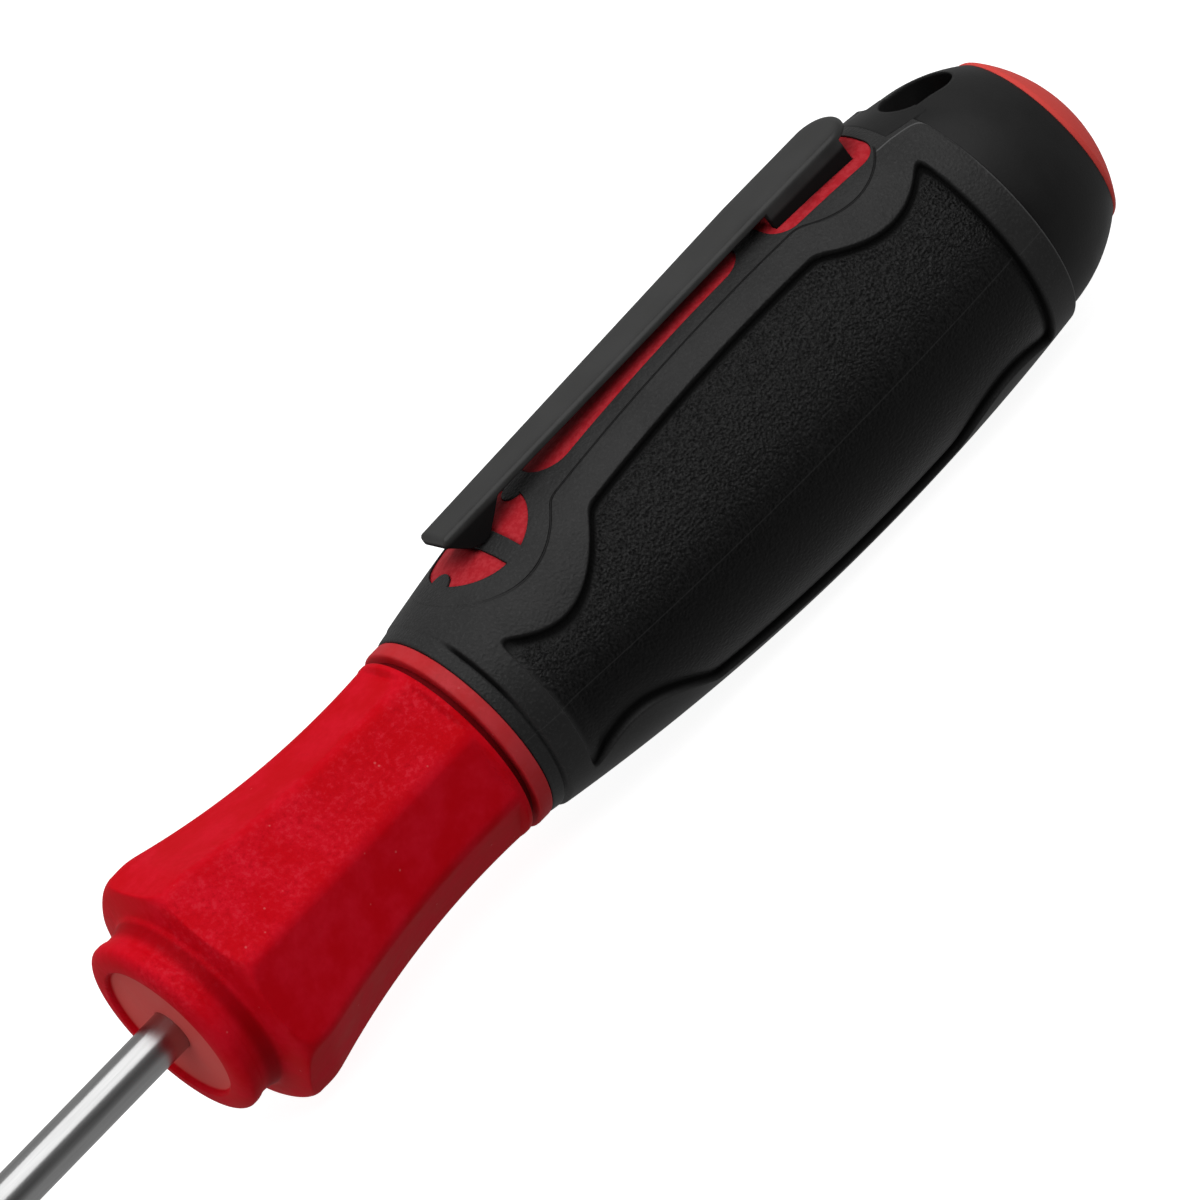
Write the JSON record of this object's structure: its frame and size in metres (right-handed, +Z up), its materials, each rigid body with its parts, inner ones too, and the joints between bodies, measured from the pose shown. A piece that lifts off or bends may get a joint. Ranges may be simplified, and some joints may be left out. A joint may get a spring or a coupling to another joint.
{
  "type": "pocket screwdriver",
  "caption": "Slotted pocket screwdriver with a round steel shaft, a hard core with a faceted collar, a soft grip, a hang hole at the butt and a sprung pocket clip.",
  "frame": {"origin": "middle of the bounding box's base, under the tool as it lies on its belly with the clip on top", "axes": "+X along the tool from the blade's tip to the butt, +Z up through the clip, +Y across"},
  "size_m": [0.1454, 0.02, 0.022],
  "materials": {
    "steel": "bright plated",
    "red_plastic": "satin",
    "soft_grip": "fine grain on the side panels, smooth bands",
    "black_plastic": "satin",
    "clip_black": "satin black coat"
  },
  "bodies": {
    "handle": {"blade": "steel", "handle_core": "red_plastic", "grip": "soft_grip", "butt_cap": "black_plastic", "butt_button": "red_plastic", "clip_root": "clip_black"},
    "clip_arm": {"clip_arm": "clip_black"}
  },
  "joints": [
    {"name": "clip_flex", "type": "hinge", "parent": "handle", "child": "clip_arm", "pos_m": [0.05097, 0, 0.02173], "axis": [0, 1, 0], "range_deg": [0, 6], "stiffness_Nm_per_rad": 1.75}
  ]
}
